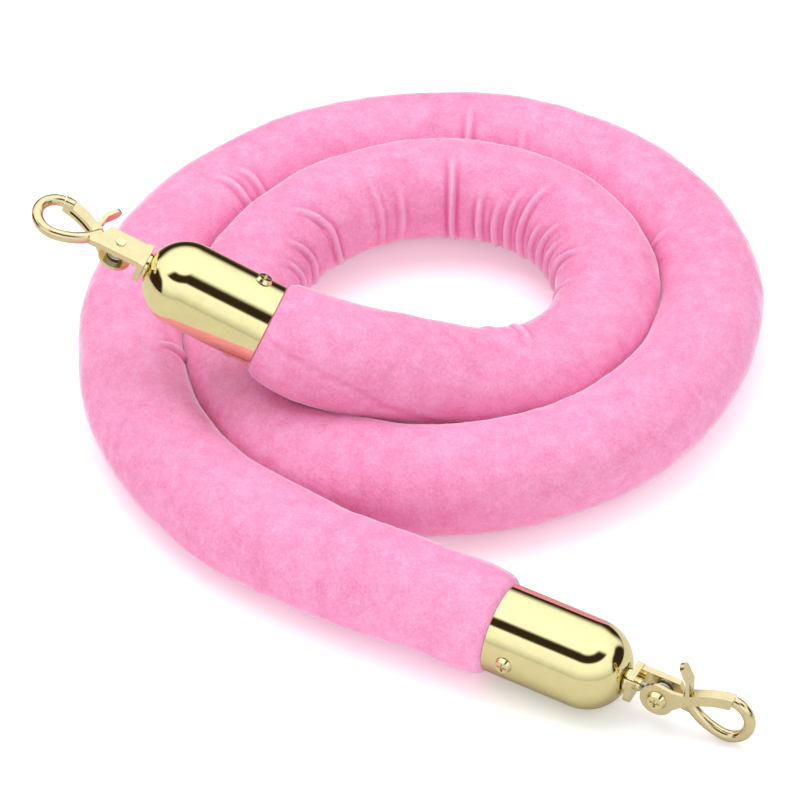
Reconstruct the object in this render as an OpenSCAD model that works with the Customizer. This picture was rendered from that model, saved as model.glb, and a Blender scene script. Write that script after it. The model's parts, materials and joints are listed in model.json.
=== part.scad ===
// Velvet barrier rope: a padded velvet tube with a domed metal cap and a swivelling
// trigger snap hook on each end, laid down as a flat coil of two and a bit turns.

/* [Rope] */
// Diameter of the velvet sleeve over its cloth
rope_d = 39; // [30:0.5:48]
// Thickness of the velvet cloth
cloth = 2; // [1:0.1:3]
// Gap between the cloth and the foam core
core_gap = 0.3; // [0.1:0.05:0.6]

/* [End cap] */
// Outer diameter of the cap
cap_d = 32; // [26:0.5:39]
// Length of the cap's straight wall
cap_straight = 33; // [26:0.5:42]
// Thickness of the cap's wall
cap_wall = 1; // [0.8:0.1:1.6]
// Thickness of the cap's flat nose round the swivel hole
nose_t = 1.6; // [1:0.1:2.5]
// Radius of the flat on the cap's nose
nose_r = 5; // [4.6:0.1:7]
// Depth of rope held inside the cap
grip_depth = 28; // [20:0.5:32]
// Gap between the rope and the cap's inner wall
grip_gap = 0.3; // [0.1:0.05:0.6]

/* [Cap screws] */
// Diameter of a screw's pan head
screw_head_d = 6.4; // [5:0.1:8]
// Height of a screw's pan head
screw_head_h = 1.5; // [1:0.1:2]
// Diameter of a screw's shank
screw_d = 3.5; // [2.5:0.1:4]
// Depth of a screw's tip below the cap's outer face
screw_reach = 7; // [5:0.5:10]
// Distance of the screws from the cap's mouth
screw_inset = 8.5; // [6:0.5:14]

/* [Swivel] */
// Diameter of the swivel rivet's shank
swivel_d = 4; // [3:0.1:5]
// Diameter of the rivet's head inside the cap
swivel_head_d = 7.6; // [6.4:0.1:9]
// Thickness of the rivet's head inside the cap
swivel_head_t = 1.5; // [1:0.1:2.5]
// Thickness of the outer washer
outer_washer_t = 1; // [0.6:0.1:2]
// Diameter of the outer washer
outer_washer_d = 9; // [7.6:0.1:10]
// Thickness of the inner washer
inner_washer_t = 1; // [0.6:0.1:2]
// Diameter of the inner washer
inner_washer_d = 10; // [8:0.1:12]
// Clearance round a turning pin and beside a turning face
running = 0.05; // [0.02:0.01:0.1]

/* [Hook] */
// Thickness of the hook's foot plate
foot_t = 2.5; // [1.5:0.1:3]
// Height of the hook's foot plate
foot_h = 10.8; // [9:0.1:14]
// Thickness of the hook's side plate
plate_t = 2.6; // [1.6:0.1:3]
// Height of the hook's side plate
plate_h = 10.2; // [8:0.1:12]
// Diameter of the round jaw
jaw_d = 4.2; // [3:0.1:5]
// Radius of the round end of the jaw, to the middle of its rod
jaw_r = 7.9; // [7:0.1:10]
// Opening between the side plate and the lever's cheek
hook_gap = 5; // [4.6:0.1:6]

/* [Lever] */
// Thickness of the lever's metal
lever_t = 1.6; // [1:0.1:2]
// Radius of the lever's round end
lever_r = 6.2; // [5:0.1:7]
// Length of the thumb tab
tab_l = 11.5; // [6:0.5:13]
// Width of the thumb tab
tab_w = 4.4; // [3:0.1:5]
// Width of the lever's arm where it leaves its cheek
arm_w = 4.6; // [4.2:0.1:6]
// Gap between the lever's nose and the jaw's tip when shut
nose_gap = 0.25; // [0.15:0.05:0.5]
// Diameter of the pivot pin
pivot_d = 3.8; // [3:0.1:4.4]
// Diameter of the pivot's head
pivot_head_d = 7.4; // [5.5:0.1:8]
// Height of the pivot's head
pivot_head_h = 1.7; // [1:0.1:2.5]
// Wire diameter of the torsion spring
wire_d = 0.9; // [0.6:0.1:1.1]
// Radius of the torsion spring, to the middle of its wire
coil_r = 3; // [2.8:0.1:3.4]

/* [Hidden] */
$fn = 64;
eps = 0.01;

// ---- how the rope lies ----
// The coil grows with the rope's thickness, so its turns always lie side by side
lay = rope_d / 39;
heading_a = -27;
tilt_a = -4.5;
roll_a = 86;
screw_angle_a = 180;
heading_b = 164;
tilt_b = 22;
roll_b = 172;
screw_angle_b = 104;
dir_a = axis_dir(heading_a, tilt_a);
dir_b = axis_dir(heading_b, tilt_b);
// Cap a rests on the floor at the far end of its straight wall
floor_gap = 0.3;
mouth_a_z = floor_gap + cap_d / 2 * cos(tilt_a) - cap_straight * sin(tilt_a);
// Moves the middle of the whole laid-out rope onto the origin
to_middle = [-4.3, -12.3, 0] * lay;
mouth_a = [35 * lay, -121 * lay, mouth_a_z] + to_middle;
mouth_b = [-48, -12, 65] * lay + to_middle;
// Points that the rope's middle line bends past, from cap a to cap b
bends = [
    [-25, -90, 19.5], [-59, -69, 19.5], [-85, -36, 19.5], [-100, 0, 19.5], [-105, 40, 19.5],
    [-100, 80, 19.5], [-85, 112, 19.5], [-60, 140, 19.5], [-30, 160, 19.5], [8, 170, 19.5],
    [46, 167, 19.5], [80, 151, 19.5], [106, 122, 19.5], [122, 86, 19.5], [122, 48, 19.5],
    [109, 12, 19.5], [87, -18, 19.5], [56, -39, 19.5], [19, -48, 19.5], [-18, -46, 19.5],
    [-47, -24, 19.5], [-60, 11, 19.5], [-64, 45, 19.5], [-57, 80, 20], [-36, 109, 23],
    [-3, 128, 24], [33, 128, 24], [66, 110, 23], [82, 77, 22], [79, 41, 22],
    [57, 11, 22], [26, -3, 30], [-4, -10, 46]
];
lead_a = 32 * lay;
lead_b = 22 * lay;
anchors = concat(
    [mouth_a, mouth_a - lead_a * dir_a],
    [for (p = bends) p * lay + to_middle],
    [mouth_b - lead_b * dir_b, mouth_b]
);
last = len(anchors) - 1;
guide = concat(
    [2 * anchors[0] - anchors[1]],
    anchors,
    [2 * anchors[last] - anchors[last - 1]]
);

// ---- the swept tube ----
sides = 12;
sleeve_r = rope_d / 2;
neck_r = cap_d / 2 - cap_wall - grip_gap;
// Distance from the mouth along the rope, and how full the rope is there: 0 neck, 1 full
neck = [[-grip_depth, 0], [0.2, 0], [1.8, 0.6], [6, 0.93]];
rings = concat(
    [for (n = neck) [mouth_a - n[0] * dir_a, fullness(n[1])]],
    [for (u = [0.5 : 0.5 : last - 0.5]) [route(u), sleeve_r]],
    [for (i = [len(neck) - 1 : -1 : 0]) [mouth_b - neck[i][0] * dir_b, fullness(neck[i][1])]]
);

// ---- places along the cap's axis, from its mouth ----
cap_r = cap_d / 2;
nose_x = cap_straight + sqrt(cap_r * cap_r - nose_r * nose_r);
inner_nose_x = nose_x - nose_t;
washer_in_x = inner_nose_x - inner_washer_t;
rivet_head_x = washer_in_x - 2 * running - swivel_head_t;
// ---- places on the hook, from the cap's nose ----
foot_x = outer_washer_t + 2 * running;
foot_end_x = foot_x + foot_t;
peened_t = 1.6;
// The rivet's peened end just fits beside the hook's side plate
peened_r = hook_gap / 2 - 2 * running;
plate_in_z = -hook_gap / 2;
plate_out_z = plate_in_z - plate_t;
cheek_z = hook_gap / 2;
cheek_out_z = cheek_z + lever_t;
plate_low_y = -plate_h / 2;
plate_top_y = plate_h / 2 - 0.4;
pivot_x = foot_end_x + lever_r + 2.8;
plate_end_x = pivot_x + 8.2;
jaw_z = plate_in_z - plate_t / 2 + 1.2;
jaw_at = [pivot_x + 24, -0.9];
// Where the jaw's tip meets the lever's nose, and where its small bend meets its long one
tip_angle = 82;
bend_angle = -100;
long_r = 22;
long_at = jaw_at + (jaw_r - long_r) * [cos(bend_angle), sin(bend_angle)];
long_start = -146;
// The lever's arc carries on from the jaw's tip
lever_arc_r = 26;
lever_at = jaw_at + (jaw_r - lever_arc_r) * [cos(tip_angle), sin(tip_angle)];
lever_arc_end = 118;
tip_angle_gap = nose_gap / lever_arc_r * 180 / PI;
// The spring fills the gap between the side plate and the cheek, less a little play
spring_low_play = 0.05;
spring_high_play = 0.025;
coil_h = hook_gap - wire_d - spring_low_play - spring_high_play;
coil_turns = floor(coil_h / (1.25 * wire_d) - 0.5) + 0.5;

// ---- functions ----
function unit(v) = v / norm(v);
function axis_dir(heading, tilt) =
    [cos(tilt) * cos(heading), cos(tilt) * sin(heading), sin(tilt)];
function fullness(share) = neck_r + (sleeve_r - neck_r) * share;
// A smooth curve that blends four neighbouring points
function blend(a, b, c, d, t) = (
    a * pow(1 - t, 3)
    + b * (3 * pow(t, 3) - 6 * pow(t, 2) + 4)
    + c * (-3 * pow(t, 3) + 3 * pow(t, 2) + 3 * t + 1)
    + d * pow(t, 3)
) / 6;
function route(u) =
    let (i = min(floor(u), last - 1))
    blend(guide[i], guide[i + 1], guide[i + 2], guide[i + 3], u - i);
// One ring of the tube, square to the path
function ring_points(i, path, inset) =
    let (
        before = path[max(i - 1, 0)][0],
        after = path[min(i + 1, len(path) - 1)][0],
        forward = unit(after - before),
        side = unit(cross([0, 0, 1], forward)),
        up = cross(forward, side),
        r = path[i][1] - inset
    )
    [for (k = [0 : sides - 1])
        path[i][0] + r * (cos(360 * k / sides) * side + sin(360 * k / sides) * up)];
function skin_points(path, inset) =
    [for (i = [0 : len(path) - 1]) each ring_points(i, path, inset)];
// Faces between rings of some number of points, turned outwards or, with flip, inwards.
// Each is cut along the same diagonal, so an inner skin never crosses an outer one
function skin_faces(count, around, first, flip) =
    [for (i = [0 : count - 2], k = [0 : around - 1])
        let (
            a = first + i * around + k,
            b = first + i * around + (k + 1) % around,
            halves = [[a, a + around, b + around], [a, b + around, b]]
        )
        for (h = halves) flip ? [h[2], h[1], h[0]] : h];
// A flat ring that joins an outer and an inner skin at one end of a hollow tube
function end_faces(outer, inner, flip) =
    [for (k = [0 : sides - 1])
        let (n = (k + 1) % sides, quad = [outer + k, outer + n, inner + n, inner + k])
        flip ? [quad[3], quad[2], quad[1], quad[0]] : quad];

// ---- rope ----
module velvet_sleeve() {
    count = len(rings);
    inner = count * sides;
    points = concat(skin_points(rings, 0), skin_points(rings, cloth));
    far = (count - 1) * sides;
    color("hotpink")
    polyhedron(points, concat(
        skin_faces(count, sides, 0, false),
        skin_faces(count, sides, inner, true),
        end_faces(0, inner, false),
        end_faces(far, inner + far, true)
    ), convexity = 20);
}

module rope_core() {
    count = len(rings);
    far = (count - 1) * sides;
    color("white")
    polyhedron(skin_points(rings, cloth + core_gap), concat(
        skin_faces(count, sides, 0, false),
        [[for (k = [0 : sides - 1]) k]],
        [[for (k = [sides - 1 : -1 : 0]) far + k]]
    ), convexity = 20);
}

// ---- placing ----
// Puts a piece drawn along +X from the mouth of the cap onto one end of the rope
module at_end(end) {
    mouth = end == "a" ? mouth_a : mouth_b;
    turn = end == "a" ? [0, -tilt_a, heading_a] : [0, -tilt_b, heading_b];
    translate(mouth) rotate(turn) children();
}

module on_hook(end) {
    roll = end == "a" ? roll_a : roll_b;
    at_end(end) rotate([roll, 0, 0]) translate([nose_x, 0, 0]) children();
}

// A round rod along +X
module rod(x0, x1, r) {
    translate([x0, 0, 0]) rotate([0, 90, 0]) cylinder(r = r, h = x1 - x0);
}

// A solid rod along a list of centres and radii
module swept_rod(path, around) {
    count = len(path);
    points = [for (i = [0 : count - 1])
        let (
            forward = unit(path[min(i + 1, count - 1)][0] - path[max(i - 1, 0)][0]),
            side = unit(cross([0, 0, 1], forward)),
            up = cross(forward, side)
        )
        for (k = [0 : around - 1])
            path[i][0] + path[i][1] * (cos(360 * k / around) * side + sin(360 * k / around) * up)];
    polyhedron(points, concat(
        skin_faces(count, around, 0, false),
        [[for (k = [0 : around - 1]) k]],
        [[for (k = [around - 1 : -1 : 0]) (count - 1) * around + k]]
    ), convexity = 10);
}

// ---- end cap and its screws ----
module cap_shell(inset, nose) {
    intersection() {
        union() {
            rod(inset > 0 ? -eps : 0, cap_straight, cap_r - inset);
            translate([cap_straight, 0, 0]) sphere(r = cap_r - inset);
        }
        rod(inset > 0 ? -eps : 0, nose, cap_r + 1);
    }
}

module screw_places(end) {
    first = end == "a" ? screw_angle_a : screw_angle_b;
    for (turn = [0, 180])
        rotate([first + turn - 90, 0, 0]) translate([screw_inset, 0, 0]) children();
}

module end_cap(end) {
    color("gold")
    at_end(end)
    difference() {
        cap_shell(0, nose_x);
        cap_shell(cap_wall, inner_nose_x);
        rod(0, nose_x + 1, swivel_d / 2 + running);
        screw_places(end) cylinder(d = screw_d + 2 * running, h = cap_r + 1);
    }
}

module cap_screws(end) {
    slot_w = 0.9;
    slot_l = 3.6;
    slot_h = 0.9;
    top = cap_r + screw_head_h;
    color("khaki")
    at_end(end)
    screw_places(end)
    difference() {
        union() {
            translate([0, 0, cap_r - screw_reach]) cylinder(d = screw_d, h = screw_reach);
            translate([0, 0, cap_r])
                cylinder(d1 = screw_head_d, d2 = screw_head_d - 1.6, h = screw_head_h);
        }
        for (turn = [0, 90])
            rotate([0, 0, turn])
            translate([-slot_l / 2, -slot_w / 2, top - slot_h]) cube([slot_l, slot_w, slot_h + 1]);
    }
}

// ---- swivel ----
module washer(x, t, d) {
    difference() {
        rod(x, x + t, d / 2);
        rod(x - 1, x + t + 1, swivel_d / 2 + running);
    }
}

module outer_washer(end) {
    color("goldenrod")
    at_end(end) translate([nose_x, 0, 0]) washer(0, outer_washer_t, outer_washer_d);
}

module inner_washer(end) {
    color("silver") at_end(end) washer(washer_in_x, inner_washer_t, inner_washer_d);
}

module swivel_rivet(end) {
    color("darkgoldenrod")
    at_end(end) {
        rod(rivet_head_x, rivet_head_x + swivel_head_t, swivel_head_d / 2);
        rod(rivet_head_x, nose_x + foot_end_x + peened_t, swivel_d / 2);
        translate([nose_x + foot_end_x, 0, 0]) rod(0, peened_t, peened_r);
    }
}

// ---- hook frame ----
// An arc of round rod about a point, in the hook's own plane
module rod_arc(at, r, from, to, rod_r, z) {
    translate([at[0], at[1], z]) rotate([0, 0, from])
    rotate_extrude(angle = to - from, $fn = 160) translate([r, 0]) circle(r = rod_r);
}

module plate_outline() {
    heel_x = plate_end_x + 1.8;
    polygon([
        [foot_x, plate_low_y], [plate_end_x - 2, plate_low_y - 0.2], [heel_x, plate_low_y - 0.6],
        [heel_x + 1.2, plate_low_y + 1.6], [plate_end_x + 1.6, -1.8], [plate_end_x - 0.2, -0.6],
        [plate_end_x - 3, plate_top_y], [foot_x, plate_top_y]
    ]);
}

module foot_outline() {
    corner = 2;
    low_z = plate_out_z;
    high_z = cheek_out_z + 1.6;
    translate([low_z, -foot_h / 2]) square([high_z - low_z - corner, foot_h]);
    translate([low_z, -foot_h / 2 + corner]) square([high_z - low_z, foot_h - 2 * corner]);
    for (y = [-1, 1])
        translate([high_z - corner, y * (foot_h / 2 - corner)]) circle(r = corner);
}

// Centres and radii along the jaw's rod, from a round end beside the plate to its tip
function on_arc(at, r, angle, rod_r) = [[at[0] + r * cos(angle), at[1] + r * sin(angle), jaw_z], rod_r];

module jaw() {
    rod_r = jaw_d / 2;
    start = on_arc(long_at, long_r, long_start, rod_r)[0];
    back = [sin(long_start), -cos(long_start), 0];
    step = 5;
    swept_rod(concat(
        [for (a = [80 : -20 : 20]) [start + rod_r * sin(a) * back, rod_r * cos(a)]],
        [for (a = [long_start : step / 2 : bend_angle - step / 2]) on_arc(long_at, long_r, a, rod_r)],
        [for (a = [bend_angle : step : tip_angle - step / 2]) on_arc(jaw_at, jaw_r, a, rod_r)],
        [on_arc(jaw_at, jaw_r, tip_angle, rod_r)]
    ), 20);
}

module hook_frame(end) {
    color("gold")
    on_hook(end)
    difference() {
        union() {
            translate([foot_x, 0, 0]) rotate([0, -90, 0]) mirror([0, 0, 1])
                linear_extrude(foot_t) foot_outline();
            translate([0, 0, plate_out_z]) linear_extrude(plate_t) plate_outline();
            jaw();
        }
        rod(0, foot_end_x + 1, swivel_d / 2 + 0.02);
        translate([pivot_x, 0, plate_out_z - 1]) cylinder(d = pivot_d + 0.04, h = plate_t + 2);
    }
}

// ---- lever ----
// A slice of a ring about the centre of the lever's arc
module arc_band(r0, r1, from, to) {
    translate(lever_at) rotate([0, 0, from])
    rotate_extrude(angle = to - from, $fn = 160) translate([r0, plate_out_z - 1])
        square([r1 - r0, cheek_out_z - plate_out_z + 2]);
}

// The lever's taper seen from above, cut back by inset on all its sides
module taper(inset) {
    nose_x0 = jaw_at[0] + 3;
    nose_low = jaw_z - jaw_d / 2 + inset;
    nose_high = jaw_z + jaw_d / 2 - inset;
    arm_low = cheek_out_z - arm_w + inset;
    translate([0, 40, 0]) rotate([90, 0, 0]) linear_extrude(80) polygon([
        [pivot_x + 4, cheek_out_z - inset], [pivot_x + 12, cheek_out_z - inset], [nose_x0, nose_high],
        [nose_x0, nose_low], [pivot_x + 12, arm_low], [pivot_x + 4, arm_low]
    ]);
}

module cheek_outline() {
    circle(r = lever_r);
    polygon([
        [0, lever_r], [5, 5.6], [8.6, 6.2], [12, 7.6],
        [11.8, 3.1], [8.6, 0.8], [6.2, -1.6], [4.6, -4.2]
    ]);
}

module thumb_tab() {
    lean = 8;
    bend = 24;
    lower = tab_l * 0.55;
    translate([pivot_x + 10.4, 6.2, cheek_out_z - tab_w]) rotate([0, 0, lean]) {
        translate([-lever_t / 2, 0, 0]) cube([lever_t, lower, tab_w]);
        translate([0, lower, 0]) rotate([0, 0, bend]) {
            translate([-lever_t / 2, -0.4, 0]) cube([lever_t, tab_l - lower, tab_w]);
            translate([-lever_t / 2, tab_l - lower - 0.4, tab_w / 2]) rotate([0, 90, 0])
                cylinder(d = tab_w, h = lever_t);
        }
    }
}

module hook_lever(end) {
    half = jaw_d / 2;
    from = tip_angle + tip_angle_gap;
    color("gold")
    on_hook(end)
    difference() {
        union() {
            translate([pivot_x, 0, cheek_z + 2 * running]) linear_extrude(lever_t - 2 * running)
                cheek_outline();
            difference() {
                intersection() {
                    arc_band(lever_arc_r - half, lever_arc_r + half, from, lever_arc_end);
                    taper(0);
                }
                intersection() {
                    arc_band(lever_arc_r - half - 3, lever_arc_r + half - lever_t,
                        from + 7, lever_arc_end + 4);
                    taper(lever_t);
                }
            }
            rod_arc(lever_at, lever_arc_r, from, from + 8, half, jaw_z);
            thumb_tab();
        }
        translate([pivot_x, 0, cheek_z - 1]) cylinder(r = pivot_d / 2 + running, h = lever_t + 3);
    }
}

// ---- pivot and spring ----
module lever_pivot(end) {
    slot_w = 0.9;
    slot_l = 3.8;
    slot_h = 1;
    head_z = cheek_out_z + 2 * running;
    peen_h = 0.5;
    color("khaki")
    on_hook(end)
    translate([pivot_x, 0, 0])
    difference() {
        union() {
            translate([0, 0, plate_out_z - peen_h])
                cylinder(d = pivot_d, h = head_z - plate_out_z + peen_h);
            translate([0, 0, head_z])
                cylinder(d1 = pivot_head_d, d2 = pivot_head_d - 1.8, h = pivot_head_h);
        }
        for (turn = [0, 90])
            rotate([0, 0, turn]) translate([-slot_l / 2, -slot_w / 2, head_z + pivot_head_h - slot_h])
                cube([slot_l, slot_w, slot_h + 1]);
    }
}

module lever_spring(end) {
    wire_r = wire_d / 2;
    steps = 20;
    start_z = plate_in_z + wire_r + spring_low_play;
    sections = round(coil_turns * steps);
    leg = pivot_x - foot_end_x - 0.2;
    centres = concat(
        [[-leg, -coil_r, start_z]],
        [for (i = [0 : sections])
            let (turn = -90 + 360 * i / steps)
            [coil_r * cos(turn), coil_r * sin(turn), start_z + coil_h * i / sections]],
        [[-leg + 2, coil_r, start_z + coil_h]]
    );
    color("silver")
    on_hook(end)
    translate([pivot_x, 0, 0])
    swept_rod([for (c = centres) [c, wire_r]], 8);
}

velvet_sleeve();
rope_core();
end_cap("a");  // end_cap_a
cap_screws("a");  // cap_screws_a
outer_washer("a");  // outer_washer_a
inner_washer("a");  // inner_washer_a
swivel_rivet("a");  // swivel_rivet_a
hook_frame("a");  // hook_frame_a
hook_lever("a");  // hook_lever_a
lever_pivot("a");  // lever_pivot_a
lever_spring("a");  // lever_spring_a
end_cap("b");  // end_cap_b
cap_screws("b");  // cap_screws_b
outer_washer("b");  // outer_washer_b
inner_washer("b");  // inner_washer_b
swivel_rivet("b");  // swivel_rivet_b
hook_frame("b");  // hook_frame_b
hook_lever("b");  // hook_lever_b
lever_pivot("b");  // lever_pivot_b
lever_spring("b");  // lever_spring_b
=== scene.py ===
import json
import math
import random

import bpy
import numpy as np
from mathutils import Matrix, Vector, noise

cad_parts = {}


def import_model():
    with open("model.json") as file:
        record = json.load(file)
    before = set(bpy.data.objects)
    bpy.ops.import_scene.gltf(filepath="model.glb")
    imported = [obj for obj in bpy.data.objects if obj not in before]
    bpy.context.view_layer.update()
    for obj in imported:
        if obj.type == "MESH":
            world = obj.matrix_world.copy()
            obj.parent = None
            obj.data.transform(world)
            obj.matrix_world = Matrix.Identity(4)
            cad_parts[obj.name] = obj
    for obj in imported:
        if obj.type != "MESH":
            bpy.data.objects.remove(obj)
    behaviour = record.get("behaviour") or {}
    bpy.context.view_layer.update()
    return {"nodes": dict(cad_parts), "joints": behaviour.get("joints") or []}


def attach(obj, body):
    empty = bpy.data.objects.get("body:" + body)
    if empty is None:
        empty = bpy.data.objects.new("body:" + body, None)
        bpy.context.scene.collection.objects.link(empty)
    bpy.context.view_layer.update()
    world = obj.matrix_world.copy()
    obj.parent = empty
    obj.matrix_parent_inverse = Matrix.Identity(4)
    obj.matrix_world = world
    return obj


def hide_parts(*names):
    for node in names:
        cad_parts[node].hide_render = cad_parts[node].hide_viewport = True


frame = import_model()


cameraSet = {
    "target": (-0.0043, -0.0123, 0.020),
    "distance": 1.25,
    "elevation": 40,    # degrees above the horizon
    "lens": 150.47,     # mm
    "sensor": 36,       # mm wide
    "clip": (0.05, 20),
}


def makeCamera(opts):
    data = bpy.data.cameras.new("ropeCamera")
    data.lens = opts["lens"]
    data.sensor_width = opts["sensor"]
    data.clip_start, data.clip_end = opts["clip"]
    camera = bpy.data.objects.new("ropeCamera", data)
    lift = math.radians(opts["elevation"])
    back = Vector((0, -math.cos(lift), math.sin(lift)))
    camera.location = Vector(opts["target"]) + back * opts["distance"]
    camera.rotation_euler = (-back).to_track_quat("-Z", "Y").to_euler()
    bpy.context.scene.collection.objects.link(camera)
    bpy.context.scene.camera = camera


makeCamera(cameraSet)
print("camera placed")


# The rope's route: the CAD model's own points, before they are moved to the middle
toMiddle = np.array((-0.0043, -0.0123, 0))
routeBends = np.array([
    (-0.025, -0.090, 0.0195), (-0.059, -0.069, 0.0195), (-0.085, -0.036, 0.0195), (-0.100, 0.000, 0.0195),
    (-0.105, 0.040, 0.0195), (-0.100, 0.080, 0.0195), (-0.085, 0.112, 0.0195), (-0.060, 0.140, 0.0195),
    (-0.030, 0.160, 0.0195), (0.008, 0.170, 0.0195), (0.046, 0.167, 0.0195), (0.080, 0.151, 0.0195),
    (0.106, 0.122, 0.0195), (0.122, 0.086, 0.0195), (0.122, 0.048, 0.0195), (0.109, 0.012, 0.0195),
    (0.087, -0.018, 0.0195), (0.056, -0.039, 0.0195), (0.019, -0.048, 0.0195), (-0.018, -0.046, 0.0195),
    (-0.047, -0.024, 0.0195), (-0.060, 0.011, 0.0195), (-0.064, 0.045, 0.0195), (-0.057, 0.080, 0.020),
    (-0.036, 0.109, 0.023), (-0.003, 0.128, 0.024), (0.033, 0.128, 0.024), (0.066, 0.110, 0.023),
    (0.082, 0.077, 0.022), (0.079, 0.041, 0.022), (0.057, 0.011, 0.022), (0.026, -0.003, 0.030),
    (-0.004, -0.010, 0.046),
])

ropeSet = {
    "radius": 0.0195,       # of the velvet over the padding
    "neckRadius": 0.0147,   # where a cap grips it
    "cloth": 0.002,
    "coreGap": 0.0003,
    "lowest": 0.0001,       # the cloth lies flat here, just clear of the floor
    "grip": 0.028,          # length of rope inside a cap
    "leadA": 0.032,         # straight stretch out of cap a
    "leadB": 0.022,
    "perSpan": 60,          # points worked out between two bends of the route
    "step": 0.001,          # between rings
    "sides": 64,
    "turnSpan": 12,         # rings on each side that the turning is averaged over
    "liningSkip": 8,        # the lining side needs fewer rings
    "coreSkip": 6,          # and so does the core
}


def meshPoints(node):
    data = frame["nodes"][node].data
    co = np.empty(len(data.vertices) * 3)
    data.vertices.foreach_get("co", co)
    return co.reshape(-1, 3)


def capMouth(end):
    joint = next(j for j in frame["joints"] if j["name"] == "swivel_" + end)
    nose, axis = np.array(joint["pos_m"]), np.array(joint["axis"])
    reach = ((meshPoints("end_cap_" + end) - nose) @ axis).min()
    return nose + reach * axis, axis


mouthA, axisA = capMouth("a")
mouthB, axisB = capMouth("b")


def blendFour(a, b, c, d, t):
    return (a * (1 - t)**3 + b * (3 * t**3 - 6 * t**2 + 4)
            + c * (-3 * t**3 + 3 * t**2 + 3 * t + 1) + d * t**3) / 6


def splineLine(anchors, perSpan):
    first, last = 2 * anchors[0] - anchors[1], 2 * anchors[-1] - anchors[-2]
    guide = np.vstack([first, anchors, last])
    t = np.linspace(0, 1, perSpan, endpoint=False)[:, None]
    spans = [blendFour(*guide[i:i + 4], t) for i in range(len(guide) - 3)]
    return np.vstack(spans + [anchors[-1:]])


def evenly(line, step):
    along = np.concatenate([[0], np.cumsum(np.linalg.norm(np.diff(line, axis=0), axis=1))])
    count = round(along[-1] / step)
    want = np.linspace(0, along[-1], count + 1)
    return np.column_stack([np.interp(want, along, line[:, k]) for k in range(3)])


def smoothed(values, width):
    kernel = np.hanning(2 * width + 3)[1:-1]
    padded = np.pad(values, (width, width), mode="edge")
    return np.convolve(padded, kernel / kernel.sum(), mode="valid")


def ropeLine(opts):
    anchors = np.vstack([
        mouthA, mouthA - opts["leadA"] * axisA, routeBends + toMiddle,
        mouthB - opts["leadB"] * axisB, mouthB,
    ])
    between = splineLine(anchors, opts["perSpan"])
    inA, inB = mouthA + opts["grip"] * axisA, mouthB + opts["grip"] * axisB
    return evenly(np.vstack([inA, between, inB]), opts["step"])


line = ropeLine(ropeSet)
ringCount, sideCount = len(line), ropeSet["sides"]
fromStart = np.arange(ringCount) * np.linalg.norm(line[1] - line[0])
ropeLength = fromStart[-1]
forward = np.gradient(line, axis=0)
forward /= np.linalg.norm(forward, axis=1)[:, None]
side = np.cross((0, 0, 1), forward)
side /= np.linalg.norm(side, axis=1)[:, None]
up = np.cross(forward, side)
# How sharply it turns, in 1/m: positive to the left of its way
heading = np.unwrap(np.arctan2(forward[:, 1], forward[:, 0]))
turning = smoothed(np.gradient(heading, fromStart), ropeSet["turnSpan"])
# Distance outside the nearer cap's mouth, negative inside the cap
outside = np.minimum(fromStart, ropeLength - fromStart) - ropeSet["grip"]
# Angles round the rope: 0 to its left, 90 on top, 180 to its right
around = np.linspace(0, 2 * np.pi, sideCount, endpoint=False)
print(f"route {ropeLength - 2 * ropeSet['grip']:.3f} m between the caps")


# Raised folds of the velvet
foldSet = {
    "height": 0.0010,
    "width": 0.0015,      # of the raised fold
    "reach": 46,          # degrees round the rope on each side of the fold's middle
    "fade": 1.4,          # how soon a fold dies out towards its ends
    "valley": 0.7,        # depth beside a fold, as a share of its height
    "valleyAt": 1.7,      # from the fold's middle, in fold widths
    "valleyWidth": 0.75,  # in fold widths
    "deepest": 0.0011,
    "singleReach": 1.15,  # scales the folds that stand out
    "singleRise": 1.3,
}
# Small folds on the inner side of the bends. Pairs are the ends of a random range
gatherSet = {
    "slackBend": 11.0,        # 1/m of turning above which the inner side starts to gather
    "bendSpan": 8.0,          # 1/m more, and every step has a fold
    "spacing": 0.008,         # between folds in the tightest bend
    "looseStep": 2.2,         # times that spacing where the rope is straight
    "tightening": 1.2,        # taken off it in the tightest bend
    "apart": 0.008,           # least distance of a small fold from one that stands out
    "capClear": (0.014, 0.012),    # stretch without folds at cap a and at cap b
    "aside": (-18, 34),       # degrees from the bend's inner side
    "reachShare": (0.5, 1.1),
    "heightShare": (0.4, 1.0),
    "widthShare": (0.8, 1.4),
    "lean": (-0.003, 0.003),
    "stepShare": (0.6, 1.5),
    "seed": 11,
}
# Unevenness of the padding and the pile: height, size and where its noise starts
unevenSet = {
    "lump": (0.0007, 0.030, 3.1),
    "ripple": (0.00035, 0.010, 17.7),
    "grain": (0.00016, 0.0020, 41.3),
}
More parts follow.
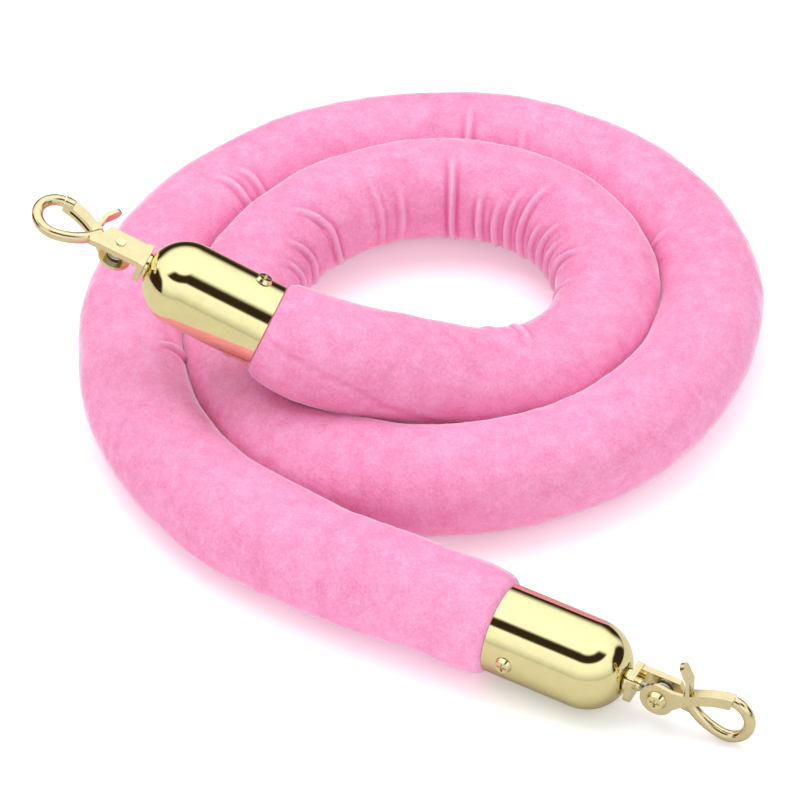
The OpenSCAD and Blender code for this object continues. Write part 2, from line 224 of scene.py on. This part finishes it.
# Folds that stand out: distance along the rope from cap a's mouth, angle round it,
# reach in degrees, height, and how far the fold slants over its reach
singleFolds = [
    (0.201, 150, 30, 0.0012, 0.004), (0.317, 138, 34, 0.0011, 0.005), (0.327, 142, 30, 0.0009, 0.004),
    (0.435, 150, 44, 0.0010, 0.000), (0.462, 155, 30, 0.0005, 0.002), (0.560, 160, 34, 0.0005, -0.002),
    (0.926, 178, 46, 0.0010, 0.010), (0.939, 176, 52, 0.0012, 0.011), (0.957, 166, 62, 0.0016, 0.012),
    (0.986, 170, 48, 0.0006, 0.001), (1.025, 172, 70, 0.0018, 0.002), (1.040, 186, 46, 0.0013, 0.000),
    (1.049, 190, 42, 0.0012, -0.002), (1.057, 178, 52, 0.0013, -0.003), (1.066, 170, 66, 0.0015, -0.004),
    (1.076, 186, 44, 0.0011, -0.005), (1.085, 180, 50, 0.0014, -0.006), (1.094, 184, 46, 0.0012, -0.006),
    (1.108, 170, 52, 0.0015, -0.008), (1.131, 168, 40, 0.0007, -0.006), (1.190, 112, 34, 0.0008, -0.004),
    (1.204, 128, 26, 0.0005, 0.003), (1.262, 168, 30, 0.0006, 0.004),
]
# Where the sewn seam runs: distance along the rope from cap a's mouth, angle round it
seamRun = [
    (0.000, 285), (0.300, 262), (0.620, 292), (0.900, 258), (1.110, 300),
    (1.180, 326), (1.215, 338), (1.253, 350), (1.281, 382), (1.294, 392),
]
seamSet = {
    "depth": 0.0005,
    "width": 0.0011,
    "lip": 0.5,         # raised cloth beside the stitches, as a share of the depth
    "lipAt": 1.9,       # in seam widths
    "lipWidth": 0.9,
}


def angleGap(a, b):
    return (a - b + 180) % 360 - 180


def addFold(height, at, angle, reach, rise, width, lean):
    far = 5 * width + abs(lean)    # nothing is left of the fold beyond this
    rows = np.nonzero(np.abs(fromStart - at) < far)[0]
    share = angleGap(np.degrees(around), angle)[None, :] / reach
    fade = np.clip(1 - share**2, 0, 1)**foldSet["fade"]
    away = (fromStart[rows][:, None] - at - lean * share * abs(share)) / width
    ridge = np.exp(-away**2)
    valleyAt, valleyWidth = foldSet["valleyAt"], foldSet["valleyWidth"]
    beside = np.exp(-((away - valleyAt) / valleyWidth)**2) + np.exp(-((away + valleyAt) / valleyWidth)**2)
    height[rows] += rise * fade * (ridge - foldSet["valley"] * beside)


def addBendFolds(height, opts):
    rng = random.Random(opts["seed"])
    clearA, clearB = opts["capClear"]
    at = ropeSet["grip"] + clearA
    while at < ropeLength - ropeSet["grip"] - clearB:
        i = min(int(at / ropeSet["step"]), ringCount - 1)
        strength = min(max((abs(turning[i]) - opts["slackBend"]) / opts["bendSpan"], 0), 1)
        nearest = min(abs(fold[0] + ropeSet["grip"] - at) for fold in singleFolds)
        if rng.random() < strength and nearest > opts["apart"]:
            inner = 0 if turning[i] > 0 else 180
            angle = inner + rng.uniform(*opts["aside"])
            reach = foldSet["reach"] * rng.uniform(*opts["reachShare"])
            rise = foldSet["height"] * rng.uniform(*opts["heightShare"])
            width = foldSet["width"] * rng.uniform(*opts["widthShare"])
            addFold(height, at, angle, reach, rise, width, rng.uniform(*opts["lean"]))
        loose = opts["looseStep"] - opts["tightening"] * strength
        at += opts["spacing"] * rng.uniform(*opts["stepShare"]) * loose


def seamAway():
    # Distance of each point from the seam, round the rope
    places = [row[0] + ropeSet["grip"] for row in seamRun]
    at = np.interp(fromStart, places, [row[1] for row in seamRun])
    gap = angleGap(np.degrees(around)[None, :], at[:, None])
    return np.radians(np.abs(gap)) * ropeSet["radius"]


def velvetHeight():
    height = np.zeros((ringCount, sideCount))
    addBendFolds(height, gatherSet)
    for at, angle, reach, rise, lean in singleFolds:
        addFold(height, at + ropeSet["grip"], angle, foldSet["singleReach"] * reach,
                foldSet["singleRise"] * rise, foldSet["width"], lean)
    away = seamAway() / seamSet["width"]
    lip = seamSet["lip"] * np.exp(-((away - seamSet["lipAt"]) / seamSet["lipWidth"])**2)
    height += seamSet["depth"] * (lip - np.exp(-away**2))
    return np.where(height < 0, foldSet["deepest"] * np.tanh(height / foldSet["deepest"]), height)


# Turns that lie side by side press against each other
pressSet = {
    "reach": 0.010,       # widest gap that the cloth swells to close
    "ease": 0.006,        # the swelling comes in over this much of the gap
    "overlap": 0.0006,    # how far the piles sink into each other
    "wide": 62,           # degrees round the rope
    "lift": 22,           # degrees above the straight way to the neighbour
    "along": 0.12,        # beyond this along the rope a stretch is a neighbour
    "capClear": 0.012,    # stretch by each cap that stays as it is
    "skip": 4,            # rings between the ones that are tested
    "soften": 9,          # rings on each side that the result is averaged over
}


def pressedHeight(opts):
    height = np.zeros((ringCount, sideCount))
    rows = np.arange(0, ringCount, opts["skip"])
    far = int(opts["along"] / ropeSet["step"])
    grown = np.zeros((len(rows), sideCount))
    for n, i in enumerate(rows):
        apart = np.linalg.norm(line - line[i], axis=1)
        apart[max(0, i - far):i + far] = np.inf
        j = int(apart.argmin())
        gap = apart[j] - 2 * ropeSet["radius"]
        if gap > opts["reach"] or min(outside[i], outside[j]) < opts["capClear"]:
            continue
        to = (line[j] - line[i]) / apart[j]
        angle = math.degrees(math.atan2(to @ up[i], to @ side[i]))
        angle -= opts["lift"] * np.sign(angleGap(angle, 90))
        share = np.clip(1 - (angleGap(np.degrees(around), angle) / opts["wide"])**2, 0, 1)**2
        closeness = min((opts["reach"] - gap) / opts["ease"], 1)**2
        grown[n] = max(gap / 2 + opts["overlap"], 0) * closeness * share
    for k in range(sideCount):
        height[:, k] = smoothed(np.interp(np.arange(ringCount), rows, grown[:, k]), opts["soften"])
    return height


def ringGrid(radius):
    # radius is one number for each ring, or one for each point
    radius = np.broadcast_to(np.asarray(radius).reshape(len(line), -1), (len(line), sideCount))
    out = np.cos(around)[None, :, None] * side[:, None] + np.sin(around)[None, :, None] * up[:, None]
    points = line[:, None] + radius[:, :, None] * out
    points[:, :, 2] = np.maximum(points[:, :, 2], ropeSet["lowest"])
    return points


def unevenness(points, amount, size, offset):
    shift = Vector((offset, 0, 0))
    flat = points.reshape(-1, 3) / size
    found = [noise.noise(Vector(p) + shift) for p in flat]
    return amount * np.array(found).reshape(points.shape[:2])


# Distance outside a cap's mouth, and how full the rope is there: 0 neck, 1 full
shoulder = [
    (0, 0), (0.0004, 0.42), (0.0012, 0.60), (0.003, 0.78),
    (0.006, 0.90), (0.011, 0.98), (0.016, 1),
]
sharpUpTo = 0.002    # the first edge out of the cap isn't softened


def fullness(away):
    share = np.interp(away, [row[0] for row in shoulder], [row[1] for row in shoulder])
    return np.where(away < sharpUpTo, share, smoothed(share, 2))


# The cloth is drawn into a cap in small pleats that fade along the rope
pleatSet = {"height": 0.00035, "fade": 0.007, "count": 13, "uneven": 1.7, "unevenCount": 3}


def pleats(opts):
    fade = np.exp(-np.clip(outside, 0, None) / opts["fade"])[:, None]
    bunched = opts["uneven"] * np.sin(opts["unevenCount"] * around)
    wave = np.sin(opts["count"] * around + bunched)[None, :]
    return opts["height"] * fade * wave


folds = velvetHeight()
settleOver = 0.003    # from a cap's mouth, before the full height of every bump


def sleeveRadius():
    share = fullness(outside)
    base = ropeSet["neckRadius"] + (ropeSet["radius"] - ropeSet["neckRadius"]) * share
    base = np.repeat(base[:, None], sideCount, axis=1)
    plain = ringGrid(base)
    shape = folds + pressedHeight(pressSet) + pleats(pleatSet)
    for amount, size, offset in unevenSet.values():
        shape += unevenness(plain, amount, size, offset)
    return base + shape * np.clip(outside / settleOver, 0, 1)[:, None]


def tubeFaces(rings, first, outward):
    faces = []
    for i in range(rings - 1):
        for k in range(sideCount):
            a, b = first + i * sideCount + k, first + i * sideCount + (k + 1) % sideCount
            quad = (a, a + sideCount, b + sideCount, b)
            faces.append(quad if outward else quad[::-1])
    return faces


def endFaces(outer, inner, outward):
    faces = []
    for k in range(sideCount):
        n = (k + 1) % sideCount
        quad = (outer + k, outer + n, inner + n, inner + k)
        faces.append(quad if outward else quad[::-1])
    return faces


def newPiece(name, points, faces, material, body):
    mesh = bpy.data.meshes.new(name)
    mesh.from_pydata([tuple(p) for p in points], [], faces)
    mesh.shade_smooth()
    mesh.materials.append(material)
    piece = bpy.data.objects.new(name, mesh)
    bpy.context.scene.collection.objects.link(piece)
    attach(piece, body)
    return piece


def startMaterial(name):
    made = bpy.data.materials.new(name)
    made.use_nodes = True
    nodes, links = made.node_tree.nodes, made.node_tree.links
    return made, nodes, links, nodes["Principled BSDF"]


def addNoise(nodes, links, place, scale, detail, rough):
    found = nodes.new("ShaderNodeTexNoise")
    found.inputs["Scale"].default_value = scale
    found.inputs["Detail"].default_value = detail
    found.inputs["Roughness"].default_value = rough
    links.new(place.outputs["Object"], found.inputs["Vector"])
    return found


def addMix(nodes, links, a, b, share):
    mixed = nodes.new("ShaderNodeMix")
    mixed.inputs["Factor"].default_value = share
    links.new(a, mixed.inputs["A"])
    links.new(b, mixed.inputs["B"])
    return mixed.outputs["Result"]


def stepped(nodes, links, source, low, high):
    # 0 below low, 1 above high, smooth between
    ramp = nodes.new("ShaderNodeMapRange")
    ramp.interpolation_type = "SMOOTHSTEP"
    ramp.inputs["From Min"].default_value = low
    ramp.inputs["From Max"].default_value = high
    links.new(source, ramp.inputs["Value"])
    return ramp.outputs["Result"]


def joined(nodes, links, how, a, b):
    made = nodes.new("ShaderNodeMath")
    made.operation = how
    for socket, value in zip(made.inputs, (a, b)):
        if isinstance(value, (int, float)):
            socket.default_value = value
        else:
            links.new(value, socket)
    return made.outputs["Value"]


def addColours(nodes, links, factor, a, b):
    mixed = nodes.new("ShaderNodeMix")
    mixed.data_type = "RGBA"
    links.new(factor, mixed.inputs["Factor"])
    colours = [socket for socket in mixed.inputs if socket.type == "RGBA"]
    for socket, value in zip(colours, (a, b)):
        if isinstance(value, tuple):
            socket.default_value = (*value, 1)
        else:
            links.new(value, socket)
    return next(socket for socket in mixed.outputs if socket.type == "RGBA")


def addRamp(nodes, links, source, stops):
    ramp = nodes.new("ShaderNodeValToRGB")
    first, last = ramp.color_ramp.elements
    first.position, first.color = stops[0][0], (*stops[0][1], 1)
    last.position, last.color = stops[-1][0], (*stops[-1][1], 1)
    for position, colour in stops[1:-1]:
        ramp.color_ramp.elements.new(position).color = (*colour, 1)
    links.new(source, ramp.inputs["Fac"])
    return ramp


velvetLook = {
    "deep": (0.72, 0.17, 0.36),
    "mid": (0.84, 0.29, 0.505),
    "pale": (0.91, 0.43, 0.67),
    "colourAt": (0.30, 0.47, 0.66),    # where the deep, mid and pale colours lie
    # Painted shade in the valleys of the folds
    "creaseShade": (0.74, 0.15, 0.34),
    # Pale colour of the painted sheen on edge-on surfaces and of the painted highlight on fold ridges
    "paintedSheen": (0.93, 0.66, 0.84),
    "ridgeHighlightShare": 0.42,       # painted highlight: share of the pale sheen colour on a fold's ridge
    # Painted sheen on edge-on surfaces: blend of the edge mask, where it starts, its share and its grain
    "edge": 0.5,
    "paintedSheenFrom": (0.80, 1.06),  # from face-on to edge-on
    "paintedSheenShare": 0.75,
    "paintedSheenGrain": 0.22,
    # Scale, detail and roughness of the noise
    "patch": (26, 3, 0.55),      # brushed patches
    "streak": (150, 4, 0.7),     # small strokes in the pile
    "fleck": (1100, 3, 0.65),    # tips of the pile
    "streakShare": 0.66,
    "fleckShare": 0.45,
    "napShare": 0.6,
    "roughness": 0.85,
    "specular": 0.15,
    "sheen": 1.0,
    "sheenTint": (1.0, 0.85, 0.96),
    "sheenRoughness": 0.22,
    "bump": 0.7,
    "bumpDepth": 0.0006,
}


def velvetMaterial(opts):
    made, nodes, links, shader = startMaterial("velvet")
    place = nodes.new("ShaderNodeTexCoord")
    patch = addNoise(nodes, links, place, *opts["patch"])
    streak = addNoise(nodes, links, place, *opts["streak"])
    fleck = addNoise(nodes, links, place, *opts["fleck"])
    broad = addMix(nodes, links, patch.outputs["Fac"], streak.outputs["Fac"], opts["streakShare"])
    mixed = addMix(nodes, links, broad, fleck.outputs["Fac"], opts["fleckShare"])
    stops = zip(opts["colourAt"], (opts["deep"], opts["mid"], opts["pale"]))
    ramp = addRamp(nodes, links, mixed, list(stops))
    # Painted shade: the colour turns deep pink in the valleys of the folds, where shade falls
    dips = nodes.new("ShaderNodeAttribute")
    dips.attribute_name = "dip"
    shaded = addColours(nodes, links, dips.outputs["Fac"], ramp.outputs["Color"], opts["creaseShade"])
    # Painted highlight: the ridges of the folds take some of the pale sheen colour
    ridges = nodes.new("ShaderNodeAttribute")
    ridges.attribute_name = "ridge"
    ridgeHighlight = joined(nodes, links, "MULTIPLY", ridges.outputs["Fac"], opts["ridgeHighlightShare"])
    shaded = addColours(nodes, links, ridgeHighlight, shaded, opts["paintedSheen"])
    # Painted sheen: where the surface is seen edge-on the colour turns pale pink, made grainy by the pile's
    # flecks
    edge = nodes.new("ShaderNodeLayerWeight")
    edge.inputs["Blend"].default_value = opts["edge"]
    paintedSheen = joined(nodes, links, "ADD", edge.outputs["Facing"],
                  joined(nodes, links, "MULTIPLY", fleck.outputs["Fac"], opts["paintedSheenGrain"]))
    pale = stepped(nodes, links, paintedSheen, *opts["paintedSheenFrom"])
    shown = joined(nodes, links, "MULTIPLY", pale, opts["paintedSheenShare"])
    links.new(addColours(nodes, links, shown, shaded, opts["paintedSheen"]), shader.inputs["Base Color"])
    nap = addMix(nodes, links, streak.outputs["Fac"], fleck.outputs["Fac"], opts["napShare"])
    shader.inputs["Roughness"].default_value = opts["roughness"]
    shader.inputs["Specular IOR Level"].default_value = opts["specular"]
    shader.inputs["Sheen Weight"].default_value = opts["sheen"]
    shader.inputs["Sheen Roughness"].default_value = opts["sheenRoughness"]
    shader.inputs["Sheen Tint"].default_value = (*opts["sheenTint"], 1)
    bump = nodes.new("ShaderNodeBump")
    bump.inputs["Strength"].default_value = opts["bump"]
    bump.inputs["Distance"].default_value = opts["bumpDepth"]
    links.new(nap, bump.inputs["Height"])
    links.new(bump.outputs["Normal"], shader.inputs["Normal"])
    return made


metalLooks = {
    "gold": {"colour": (0.93, 0.85, 0.45), "roughness": 0.05, "scratch": 0.05},
    "hookGold": {"colour": (0.84, 0.73, 0.43), "roughness": 0.13, "scratch": 0.07},
    "screwGold": {"colour": (0.92, 0.83, 0.50), "roughness": 0.10, "scratch": 0.08},
    "zinc": {"colour": (0.66, 0.67, 0.68), "roughness": 0.25, "scratch": 0.15},
}


wearSet = {
    "noise": (260, 5, 0.65),    # scale, detail and roughness
    "dim": 0.93,                # of the colour where the metal has tarnished
    "dimAt": 0.35,
    "cleanAt": 0.65,
    "edge": 0.00025,            # worn round
    "edgeSamples": 4,
}


def metalMaterial(name):
    opts = metalLooks[name]
    made, nodes, links, shader = startMaterial(name)
    place = nodes.new("ShaderNodeTexCoord")
    wear = addNoise(nodes, links, place, *wearSet["noise"])
    clean = opts["colour"]
    dim = tuple(wearSet["dim"] * c for c in clean)
    ramp = addRamp(nodes, links, wear.outputs["Fac"], [(wearSet["dimAt"], dim), (wearSet["cleanAt"], clean)])
    links.new(ramp.outputs["Color"], shader.inputs["Base Color"])
    shader.inputs["Metallic"].default_value = 1
    smear = nodes.new("ShaderNodeMapRange")
    smear.inputs["To Min"].default_value = opts["roughness"]
    smear.inputs["To Max"].default_value = opts["roughness"] + opts["scratch"]
    links.new(wear.outputs["Fac"], smear.inputs["Value"])
    links.new(smear.outputs["Result"], shader.inputs["Roughness"])
    edge = nodes.new("ShaderNodeBevel")
    edge.samples = wearSet["edgeSamples"]
    edge.inputs["Radius"].default_value = wearSet["edge"]
    links.new(edge.outputs["Normal"], shader.inputs["Normal"])
    return made


foamLook = {
    "cells": (700, 3, 0.6),    # scale, detail and roughness
    "colours": [(0.3, (0.72, 0.70, 0.62)), (0.7, (0.9, 0.88, 0.82))],
    "roughness": 0.95,
    "bumpDepth": 0.0005,
}


def foamMaterial(opts):
    made, nodes, links, shader = startMaterial("foam")
    place = nodes.new("ShaderNodeTexCoord")
    cells = addNoise(nodes, links, place, *opts["cells"])
    ramp = addRamp(nodes, links, cells.outputs["Fac"], opts["colours"])
    links.new(ramp.outputs["Color"], shader.inputs["Base Color"])
    shader.inputs["Roughness"].default_value = opts["roughness"]
    bump = nodes.new("ShaderNodeBump")
    bump.inputs["Distance"].default_value = opts["bumpDepth"]
    links.new(cells.outputs["Fac"], bump.inputs["Height"])
    links.new(bump.outputs["Normal"], shader.inputs["Normal"])
    return made


velvet = velvetMaterial(velvetLook)
metals = {name: metalMaterial(name) for name in metalLooks}
foam = foamMaterial(foamLook)
print("materials ready")


def everyFew(skip):
    # Rings of a surface that needs fewer of them, the last ring included
    return list(range(0, ringCount - 1, skip)) + [ringCount - 1]


def makeSleeve():
    outer = sleeveRadius()
    rows = everyFew(ropeSet["liningSkip"])
    lining = ringGrid(outer - ropeSet["cloth"])[rows]
    points = np.vstack([ringGrid(outer).reshape(-1, 3), lining.reshape(-1, 3)])
    inner = ringCount * sideCount
    lastOuter, lastInner = inner - sideCount, len(points) - sideCount
    faces = (tubeFaces(ringCount, 0, True) + tubeFaces(len(rows), inner, False)
             + endFaces(0, inner, True) + endFaces(lastOuter, lastInner, False))
    sleeve = newPiece("velvet_cover", points, faces, velvet, "rope")
    # Valley and ridge masks of the folds, for the painted crease shade and the painted ridge highlight in
    # the velvet's colour
    for name, amount in (("dip", -folds), ("ridge", folds)):
        share = np.clip(amount / foldSet["height"], 0, 1).ravel()
        values = np.concatenate([share, np.zeros(len(points) - inner)]).astype(np.float32)
        sleeve.data.attributes.new(name, "FLOAT", "POINT").data.foreach_set("value", values)
    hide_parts("velvet_sleeve")
    return outer


def makeCore(outer):
    rows = everyFew(ropeSet["coreSkip"])
    radius = outer - ropeSet["cloth"] - ropeSet["coreGap"]
    rings = ringGrid(radius)[rows]
    faces = tubeFaces(len(rows), 0, True)
    total = len(rows) * sideCount
    faces.append(tuple(range(sideCount)))
    faces.append(tuple(range(total - 1, total - 1 - sideCount, -1)))
    core = newPiece("foam_filling", rings.reshape(-1, 3), faces, foam, "rope")
    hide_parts("rope_core")


outerRadius = makeSleeve()
makeCore(outerRadius)
print("rope made")


# Caps and hooks keep their CAD shapes
finishes = {
    "end_cap": "gold",
    "cap_screws": "screwGold",
    "outer_washer": "screwGold",
    "inner_washer": "zinc",
    "swivel_rivet": "screwGold",
    "hook_frame": "hookGold",
    "hook_lever": "hookGold",
    "lever_pivot": "screwGold",
    "lever_spring": "zinc",
}
sharpFrom = 32    # degrees between faces above which an edge stays sharp
for part, finish in finishes.items():
    for end in "ab":
        node = frame["nodes"][part + "_" + end]
        node.data.materials.clear()
        node.data.materials.append(metals[finish])
        node.data.shade_smooth()
        node.data.set_sharp_from_angle(angle=math.radians(sharpFrom))
print("metal finished")


darkRoom = (0.035, 0.02, 0.012)
floorSet = {
    "half": 6,
    "colour": (0.93, 0.92, 0.925),
    "roughness": 0.9,
    "glow": 0.24,
    "paintedReflection": (0.60, 0.58, 0.54),    # painted reflection: the floor's colour in glossy rays only, greyer than it is
    "reflectionDarkFrom": (0.22, 0.5),          # y over which the painted reflection turns into the dark room colour
}


def makeFloor(opts):
    mesh = bpy.data.meshes.new("floor")
    half = opts["half"]
    corners = [(-half, -half, 0), (half, -half, 0), (half, half, 0), (-half, half, 0)]
    mesh.from_pydata(corners, [], [(0, 1, 2, 3)])
    floor = bpy.data.objects.new("floor", mesh)
    bpy.context.scene.collection.objects.link(floor)
    made, nodes, links, shader = startMaterial("floorPaint")
    shader.inputs["Roughness"].default_value = opts["roughness"]
    shader.inputs["Emission Color"].default_value = (1, 1, 1, 1)
    ray = nodes.new("ShaderNodeLightPath")
    place = nodes.new("ShaderNodeTexCoord")
    split = nodes.new("ShaderNodeSeparateXYZ")
    links.new(place.outputs["Object"], split.inputs["Vector"])
    # Glossy rays see a painted reflection, a greyer floor turning dark behind; other rays see the plain
    # floor colour
    behind = stepped(nodes, links, split.outputs["Y"], *opts["reflectionDarkFrom"])
    paintedReflection = addColours(nodes, links, behind, opts["paintedReflection"], darkRoom)
    plain = addColours(nodes, links, ray.outputs["Is Glossy Ray"], opts["colour"], paintedReflection)
    links.new(plain, shader.inputs["Base Color"])
    glow = nodes.new("ShaderNodeMapRange")
    glow.inputs["To Min"].default_value = opts["glow"]
    glow.inputs["To Max"].default_value = 0
    links.new(ray.outputs["Is Glossy Ray"], glow.inputs["Value"])
    links.new(glow.outputs["Result"], shader.inputs["Emission Strength"])
    mesh.materials.append(made)


lamps = {
    "keyLamp": {"place": (-0.35, 0.25, 1.5), "aim": (0, 0, 0), "size": (1.1, 1.1), "power": 8.5},
    "frontLamp": {"place": (0.2, -0.8, 1.0), "aim": (0, 0.1, 0), "size": (0.7, 0.5), "power": 2.0},
}


def makeLamp(name, opts):
    data = bpy.data.lights.new(name, "AREA")
    data.shape = "RECTANGLE"
    data.size, data.size_y = opts["size"]
    data.energy = opts["power"]
    lamp = bpy.data.objects.new(name, data)
    lamp.location = opts["place"]
    lamp.visible_glossy = False
    way = Vector(opts["aim"]) - Vector(opts["place"])
    lamp.rotation_euler = way.to_track_quat("-Z", "Y").to_euler()
    bpy.context.scene.collection.objects.link(lamp)


# White cloth all round, for the polished metal to show, with dark places in it. Each
# pair is a soft edge of one: z unless it says x or y, as parts of a way of length 1
worldSet = {
    "strength": 1.0,
    "gapFront": (-0.32, -0.12),      # y: a long gap high in front
    "gapLow": (0.63, 0.70),
    "gapHigh": (0.86, 0.93),
    "roomBack": (0.55, 0.75),        # y: a dark room low behind
    "roomTop": (0.22, 0.55),
    "doorSide": (0.84, 0.90),        # x: a doorway on the left and one on the right
    "doorTop": (0.40, 0.52),
    "cloth": [(0, (0.62, 0.61, 0.59)), (0.3, (1.05, 1.05, 1.05)), (0.9, (1.3, 1.3, 1.3))],
}


def makeWorld(opts):
    world = bpy.data.worlds.new("studio")
    world.use_nodes = True
    nodes, links = world.node_tree.nodes, world.node_tree.links
    way = nodes.new("ShaderNodeTexCoord")
    split = nodes.new("ShaderNodeSeparateXYZ")
    links.new(way.outputs["Generated"], split.inputs["Vector"])
    y, z = split.outputs["Y"], split.outputs["Z"]

    def past(source, place):
        return stepped(nodes, links, source, *opts[place])

    def before(source, place):
        return joined(nodes, links, "SUBTRACT", 1, past(source, place))

    def both(a, b):
        return joined(nodes, links, "MULTIPLY", a, b)

    band = both(past(z, "gapLow"), before(z, "gapHigh"))
    gap = both(before(y, "gapFront"), band)
    room = both(past(y, "roomBack"), before(z, "roomTop"))
    across = joined(nodes, links, "ABSOLUTE", split.outputs["X"], 0)
    doors = both(past(across, "doorSide"), before(z, "doorTop"))
    gapOrRoom = joined(nodes, links, "MAXIMUM", gap, room)
    dark = joined(nodes, links, "MAXIMUM", gapOrRoom, doors)
    cloth = addRamp(nodes, links, z, opts["cloth"])
    seen = addColours(nodes, links, dark, cloth.outputs["Color"], darkRoom)
    links.new(seen, nodes["Background"].inputs["Color"])
    nodes["Background"].inputs["Strength"].default_value = opts["strength"]
    bpy.context.scene.world = world


makeFloor(floorSet)
makeWorld(worldSet)
for name, opts in lamps.items():
    makeLamp(name, opts)
bpy.context.scene.view_settings.view_transform = "Standard"
print("stage lit")
